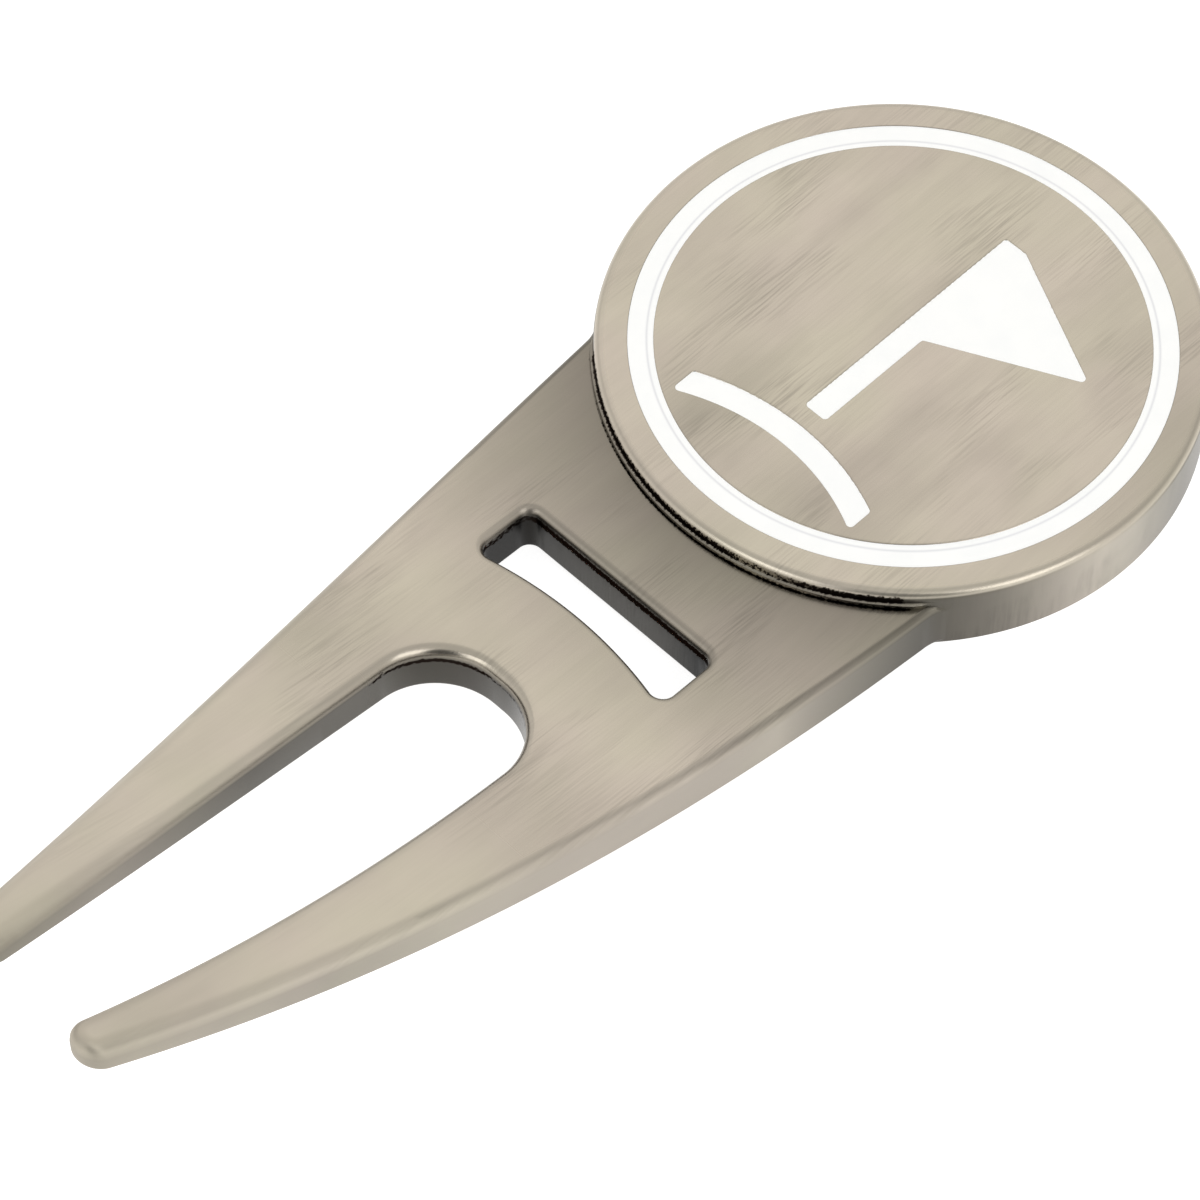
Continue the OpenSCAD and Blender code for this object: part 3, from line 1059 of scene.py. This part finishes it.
def dullness_and_painted_shade(at):
    """How much darker each point of the fork is: darker near the head's step, painted shade on the
    walls, the ledge and the rim's right side, a painted dark reflection along the rounded edges and a
    painted lighter place on the head's wall. Also how far each point has turned onto one of the plate's
    walls.
    """
    # Darker towards the head's step, and in a band at STAIN_X.
    near_head_darkening = HEAD_NEAR_DARKENING * near(at.from_head, HEAD_NEAR_REACH)
    near_head_darkening += STAIN_DULL * np.exp(-(((at.x - STAIN_X) / STAIN_REACH) ** 2))
    dull_and_painted_shade = np.where(at.on_plate, near_head_darkening, 0)
    # Painted shade on the walls.
    side, gap, slot = painted_wall_shades(at)
    turned = np.clip(at.drop / (PLATE_EDGE + (TIP_EDGE - PLATE_EDGE) * bend(at.x)), 0, 1)
    on_wall = np.zeros(len(at.points))
    for distance, wall in ((at.from_side, side), (at.from_gap, gap), (at.from_slot, slot)):
        is_wall = at.on_plate & (distance < TIP_EDGE) & (at.drop < thickness(at.x) - SOLE_SKIN)
        share = np.where(is_wall, turned**2, 0)
        dull_and_painted_shade += (wall - dull_and_painted_shade) * share
        on_wall = np.maximum(on_wall, share)
    # Painted reflection: a dark line on the rounded edge of the sides, darker towards the head.
    corner = near(np.hypot(at.x - JUNCTION[0], np.abs(at.y) - JUNCTION[1]), EDGE_REFLECTION_REACH)
    first, last = EDGE_REFLECTION_BAND
    on_edge = at.on_plate & (at.from_side < PLATE_EDGE) & (turned > first) & (turned < last)
    dull_and_painted_shade = np.where(on_edge, np.maximum(dull_and_painted_shade, EDGE_PAINTED_REFLECTION + EDGE_REFLECTION_CORNER * corner), dull_and_painted_shade)
    # Painted shade on the ledge.
    dull_and_painted_shade = np.where(at.beyond_step & (at.z > PLATE_T + HAIR), LEDGE_PAINTED_SHADE, dull_and_painted_shade)
    # Painted shade on the head's wall, as on the plate's walls, with a painted lighter place.
    on_head_wall = (np.abs(at.from_head) <= SKIN) & (at.z < HEAD_TOP - CLEAR)
    dull_and_painted_shade = np.where(on_head_wall, side - WALL_PAINTED_LIGHT * near(np.abs(at.x - WALL_LIT_PLACE[0]), WALL_LIT_PLACE[1]), dull_and_painted_shade)
    # The rim's top: a little darker all round, with painted shade to the right.
    on_rim = (at.from_head < -CLEAR) & (at.z > HEAD_TOP - CLEAR)
    from_rim_shade_place = np.hypot(at.x - RIM_SHADE_PLACE[0], at.y - RIM_SHADE_PLACE[1])
    rim = RIM_DULL_AND_SHADE[0] + RIM_DULL_AND_SHADE[1] * near(from_rim_shade_place, RIM_SHADE_REACH)
    return np.where(on_rim, rim, dull_and_painted_shade), on_wall


def step_oxide_and_shade(at):
    """Black on the head's step, on the fine ledge and round the foot: partly oxide and partly painted
    shade and reflection, and round the foot painted shade in the crease. It is lighter in two places.
    """
    over_plate = (at.x < STEP_OXIDE_AND_SHADE_X) & (at.from_head > -HEAD_EDGE) & (at.z > PLATE_T - CLEAR)
    depth = HEAD_TOP - at.z
    low = depth >= STEP_H - SKIN
    around = np.degrees(np.arctan2(at.y, at.x)) % 360
    step_lighter = STEP_LIGHTER * near(np.abs(around - STEP_LIGHTER_PLACE[0]), STEP_LIGHTER_PLACE[1])
    foot_lighter = FOOT_LIGHTER * near(np.abs(around - FOOT_LIGHTER_PLACE[0]), FOOT_LIGHTER_PLACE[1])
    start, fade = STEP_OXIDE_AND_SHADE_FADE
    step = (STEP_OXIDE_AND_SHADE - step_lighter) * np.clip((depth - start) / fade, 0, 1) * (at.from_head < STEP_SKIN)
    ledge = LEDGE_OXIDE_AND_SHADE * ~low * at.beyond_step
    # Painted shade in the crease round the head's foot.
    foot = (1 - foot_lighter) * near(np.maximum(at.from_head - LEDGE_W, 0), FOOT_PAINTED_SHADE_REACH) * low
    return np.where(over_plate, step + ledge + foot, 0)


def wall_oxide_and_reflection(at, distance, outline, edge, reach, above, least, faces):
    """Black at the top of an inner wall, from a little above the foot of the rounded edge down to
    half way between the two rings at reach: oxide, and where faces is the camera's side, partly a
    painted reflection of that dark side. It is strongest where the wall faces the angle faces, and least
    on its other sides."""
    nearest = [np.argmin(np.hypot(*(outline[:, :2] - p).T)) for p in at.points[:, :2]]
    below = at.drop - top_edge(outline, edge)[nearest]
    towards = outline[nearest, 2] * math.cos(faces) + outline[nearest, 3] * math.sin(faces)
    start, fade = BLACK_FACING
    strength = least + (1 - least) * np.clip((towards - start) / fade, 0, 1)
    in_band = (distance < BLACK_LINE_W) & (below > -above) & (below < 0.5 * sum(reach))
    return np.where(in_band, strength, 0)


def satin_share(at):
    """How satin the finish is: towards the tips, on rounded edges and on the head's edge."""
    scraped = at.drop > SCRAPE
    tips = TIP_SATIN[0] * bend(at.x) ** 2 + TIP_SATIN[1] * scraped * bend(at.x) ** 4
    rolled = at.on_plate & (np.minimum(at.from_side, at.from_slot) < TIP_EDGE) & scraped
    satin = np.maximum(tips, ROLLED_SATIN * rolled)
    on_head_edge = np.abs(at.from_head + HEAD_EDGE / 2) < HEAD_EDGE / 2 + STEP_SKIN
    return np.where(on_head_edge, HEAD_EDGE_SATIN, satin)


def age(obj):
    """Writes values for the fork's finish: darker near the head's step, painted shade on the walls, the
    ledge and the rim's right side, a painted dark reflection on the rounded edges, black on the step and
    along the tops of the inner walls that is partly oxide and partly painted shade and reflection, and
    satin and polish towards the tips.
    The plate's walls are polished too."""
    at = fork_places(np.array([v.co for v in obj.data.vertices]) / MM)
    dull_and_painted_shade, on_wall = dullness_and_painted_shade(at)
    # The gap's black faces the camera's side: partly oxide, partly a painted reflection of the dark
    # camera side.
    gap = wall_oxide_and_reflection(at, at.from_gap, at.fork, PLATE_EDGE, GAP_OXIDE_AND_REFLECTION, *GAP_OXIDE_AND_REFLECTION_SHAPE)
    slot = wall_oxide_and_reflection(at, at.from_slot, at.slot, SLOT_EDGE, SLOT_OXIDE, *SLOT_OXIDE_SHAPE)
    lines = np.where(at.on_plate & (at.x > STAIN_X), np.maximum(gap, slot), 0)
    write_values(obj, "dull_and_painted_shade", dull_and_painted_shade)
    write_values(obj, "oxide_and_painted_shade", np.maximum(step_oxide_and_shade(at), lines))
    write_values(obj, "satin", satin_share(at))
    write_values(obj, "polish", np.maximum(on_wall, bend(at.x) ** 2))


def darken_beside_green(obj):
    """Dulls the marker a little beside the green."""
    x, y, _ = np.array([v.co for v in obj.data.vertices]).T / MM
    away = np.hypot(x - DISC_DARK_PLACE[0], np.abs(y) - DISC_DARK_PLACE[1])
    write_values(obj, "dull_and_painted_shade", DISC_DARKENING * near(away, DISC_DARK_REACH))


# ---------------------------------------- light, floor and camera


def way_to(azimuth, elevation):
    """The way from the object to a place round it, given in degrees. Azimuth 0 is +X."""
    a, e = math.radians(azimuth), math.radians(elevation)
    return Vector((math.cos(a) * math.cos(e), math.sin(a) * math.cos(e), math.sin(e)))


def softbox(name, azimuth, elevation, distance, width, height, radiance, tint=(1, 1, 1)):
    """A rectangular lamp of that radiance, looking at the object."""
    lamp = bpy.data.lights.new(name, "AREA")
    lamp.shape = "RECTANGLE"
    lamp.size, lamp.size_y = width, height
    lamp.energy = radiance * math.pi * width * height
    lamp.color = tint
    obj = bpy.data.objects.new(name, lamp)
    back = way_to(azimuth, elevation)
    obj.location = CENTRE + back * distance
    obj.rotation_euler = (-back).to_track_quat("-Z", "Y").to_euler()
    bpy.context.scene.collection.objects.link(obj)
    return obj


def studio_world():
    """Pale light all round, a little darker overhead, with a dark round patch on the camera's side."""
    world = bpy.data.worlds.new("studio")
    world.use_nodes = True
    tree = world.node_tree
    direction = node(tree, "ShaderNodeTexCoord").outputs["Generated"]
    up = node(tree, "ShaderNodeSeparateXYZ", {"Vector": direction}).outputs["Z"]
    overhead = ranged(tree, up, *np.sin(np.radians(SKY_TOP_BAND)), 0.0, 1.0)
    low = ranged(tree, up, *np.sin(np.radians(SKY_LOW_BAND)), 1.0, 0.0)
    sockets = {0: direction, 1: way_to(*SHADE_PLACE)}
    towards = node(tree, "ShaderNodeVectorMath", sockets, operation="DOT_PRODUCT").outputs["Value"]
    full, none = np.cos(np.radians(SHADE_REACH))
    shaded = ranged(tree, towards, none, full, 0.0, 1.0)
    tone = mixed(tree, overhead, mixed(tree, low, [*SKY, 1], [*SKY_LOW, 1]), [*SKY_TOP, 1])
    tree.links.new(mixed(tree, shaded, tone, [*SHADE, 1]), tree.nodes["Background"].inputs["Color"])
    bpy.context.scene.world = world


def floor():
    """A plain pale floor under the tool."""
    mesh = bpy.data.meshes.new("floor")
    corners = [(-1, -1), (1, -1), (1, 1), (-1, 1)]
    points = [(x * FLOOR_HALF, y * FLOOR_HALF, -FLOOR_DROP) for x, y in corners]
    mesh.from_pydata(points, [], [(0, 1, 2, 3)])
    obj = bpy.data.objects.new("floor", mesh)
    bpy.context.scene.collection.objects.link(obj)
    made, tree, shader = material("pale_floor")
    shader.inputs["Roughness"].default_value = FLOOR_ROUGH
    shader.inputs["Specular IOR Level"].default_value = FLOOR_SPECULAR
    grain = noise(tree, length=30, width=30, detail=2)
    tone = mixed(tree, ranged(tree, grain, 0.3, 0.7, 0.0, 1.0), *FLOOR_TONES)
    linked(tree, shader, Base_Color=tone)
    shader.inputs["Emission Color"].default_value = (1, 1, 1, 1)
    shader.inputs["Emission Strength"].default_value = FLOOR_GLOW
    put_on(obj, made)


def camera():
    """The long-lens view from the prongs' side, over the tool's near edge."""
    back = way_to(CAMERA_AZIMUTH, CAMERA_ELEVATION)
    right = way_to(CAMERA_AZIMUTH + 90, 0)
    up = back.cross(right)
    aim = Vector((0, 0, HEAD_TOP)) - AIM_LEFT * right - AIM_DOWN * up
    lens = bpy.data.cameras.new("camera")
    lens.lens, lens.sensor_width = LENS, SENSOR
    lens.clip_start, lens.clip_end = CLIP
    obj = bpy.data.objects.new("camera", lens)
    obj.location = (aim + back * CAMERA_DISTANCE) * MM
    obj.rotation_euler = (-back).to_track_quat("-Z", "Y").to_euler()
    bpy.context.scene.collection.objects.link(obj)
    bpy.context.scene.camera = obj


# ---------------------------------------- the whole model

CENTRE = (cad_box[0] + cad_box[1]) / 2

nickel = brushed_metal("brushed_nickel", NICKEL)
steel_tone = [c * MARKER_TONE for c in NICKEL]
steel = brushed_metal("brushed_marker_steel", steel_tone, MARKER_SMUDGE, MARKER_GRAIN)
enamel = white_enamel()

fork = fork_body()
age(fork)
put_on(fork, nickel)
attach(fork, "fork")
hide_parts("fork_body")

disc = ball_marker()
darken_beside_green(disc)
put_on(disc, steel)
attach(disc, "marker")
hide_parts("ball_marker")

fills = ((enamel_ring(), "enamel_ring"), (enamel_cell("flag_fill", flag_outline()), "enamel_flag"),
         (enamel_cell("green_fill", green_outline()), "enamel_green"))
for fill, cad_node in fills:
    put_on(fill, enamel)
    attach(fill, "marker")
    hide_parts(cad_node)

put_on(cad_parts["marker_magnet"], plated_magnet())
put_on(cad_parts["magnet_adhesive"], amber_adhesive())

studio_world()
softbox("far_softbox", 45, 50, BOX_DISTANCE, width=0.7, height=0.36, radiance=FAR_LIGHT, tint=WARM)
softbox("right_key", 268, 38, BOX_DISTANCE, width=0.34, height=0.3, radiance=KEY_LIGHT)
softbox("left_key", 182, 38, BOX_DISTANCE, width=0.26, height=0.3, radiance=KEY_LIGHT)
floor()
camera()
bpy.context.scene.view_settings.view_transform = "Standard"
